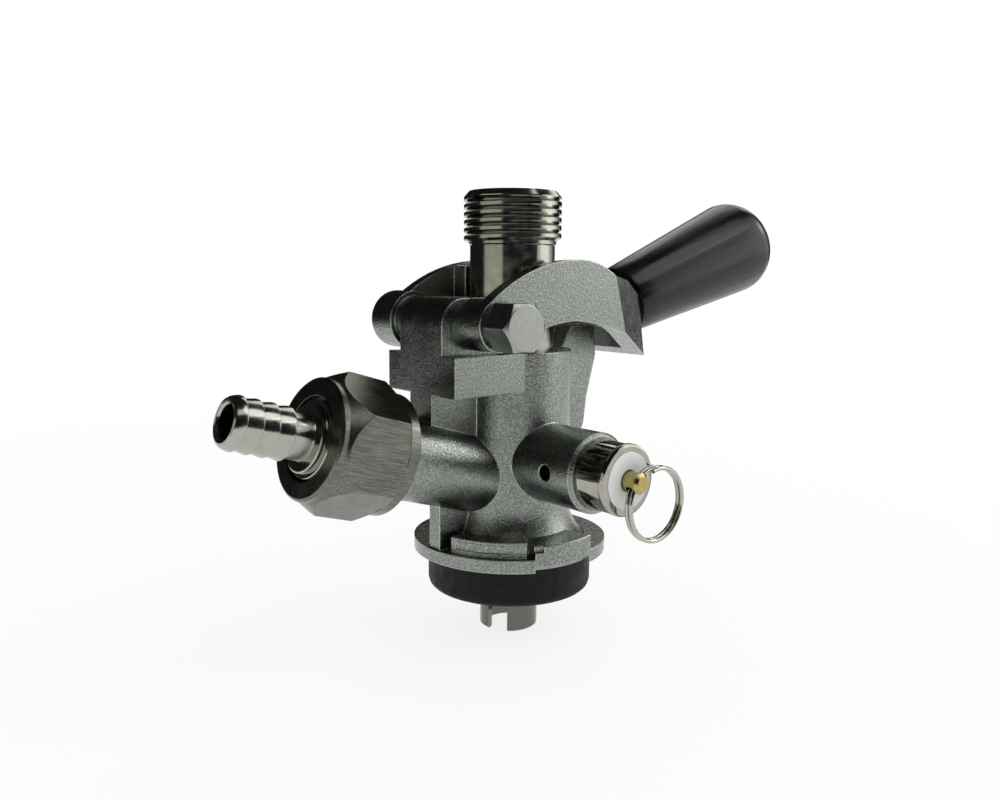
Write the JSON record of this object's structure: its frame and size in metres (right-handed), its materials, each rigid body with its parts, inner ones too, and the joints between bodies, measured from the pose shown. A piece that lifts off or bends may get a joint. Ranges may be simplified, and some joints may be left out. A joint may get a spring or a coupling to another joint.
{
  "type": "keg coupler",
  "caption": "Lever handle keg coupler: cast body with bayonet flange, threaded beer outlet on a sliding probe, barbed gas inlet and pull-ring relief valve",
  "frame": {"origin": "On the probe's axis, at the underside of the bayonet flange, where the keg's neck seats", "axes": "+Z along the probe towards the beer outlet, +X towards the lever's handle, -X towards the gas inlet, -Y towards the relief valve; metres"},
  "size_m": [0.1664, 0.066, 0.1063],
  "materials": {
    "cast_steel": "satin cast steel with a fine grain",
    "turned_steel": "turned and polished steel",
    "nut_metal": "brushed flats with bright turned chamfers",
    "plated_cap": "polished plating",
    "label_white": "matte white label",
    "pin_brass": "turned brass",
    "spring_steel": "drawn wire",
    "plated_ring": "polished wire",
    "bolt_steel": "machined steel",
    "grip_black": "glossy black",
    "black_rubber": "matte black rubber",
    "ball_plastic": "plain plastic",
    "retainer_plastic": "plain plastic"
  },
  "bodies": {
    "body": {"body_casting": "cast_steel", "bottom_seal": "black_rubber", "hose_tailpiece": "turned_steel", "tailpiece_gasket": "black_rubber", "inlet_duckbill": "black_rubber", "relief_cap": "plated_cap", "relief_label": "label_white"},
    "lever": {"lever_yoke": "cast_steel", "hinge_bolt": "bolt_steel", "handle_stud": "bolt_steel", "handle_grip": "grip_black"},
    "probe": {"probe_tube": "turned_steel", "probe_trunnions": "turned_steel", "probe_upper_oring": "black_rubber", "probe_lower_oring": "black_rubber", "probe_tip_seal": "black_rubber", "ball_retainer": "retainer_plastic"},
    "ball": {"check_ball": "ball_plastic"},
    "gas_nut": {"inlet_nut": "nut_metal"},
    "relief_pin": {"relief_stem": "pin_brass", "relief_poppet_seal": "black_rubber", "relief_spring": "spring_steel"},
    "pull_ring": {"relief_ring": "plated_ring"}
  },
  "joints": [
    {"name": "lever_hinge", "type": "hinge", "parent": "body", "child": "lever", "pos_m": [-0.0185, 0, 0.0548], "axis": [0, 1, 0], "range_deg": [0, 29.2]},
    {"name": "probe_slide", "type": "slide", "parent": "body", "child": "probe", "axis": [0, 0, -1], "range_m": [0, 0.0101]},
    {"name": "ball_lift", "type": "slide", "parent": "probe", "child": "ball", "axis": [0, 0, 1], "range_m": [0, 0.003]},
    {"name": "nut_spin", "type": "hinge", "parent": "body", "child": "gas_nut", "pos_m": [0, 0, 0.016], "axis": [-0.9578, 0, 0.2874], "continuous": true},
    {"name": "stem_pull", "type": "slide", "parent": "body", "child": "relief_pin", "axis": [0, -1, 0], "range_m": [0, 0.0015], "stiffness_N_per_m": 800, "springref_m": -0.002},
    {"name": "ring_swing", "type": "hinge", "parent": "relief_pin", "child": "pull_ring", "pos_m": [0, -0.0404, 0.0228], "axis": [0.682, 0, 0.7314], "range_deg": [-80, 3]}
  ],
  "couplings": [
    {"joint": "probe_slide", "follows": "lever_hinge", "m_per_rad": 0.01962}
  ]
}
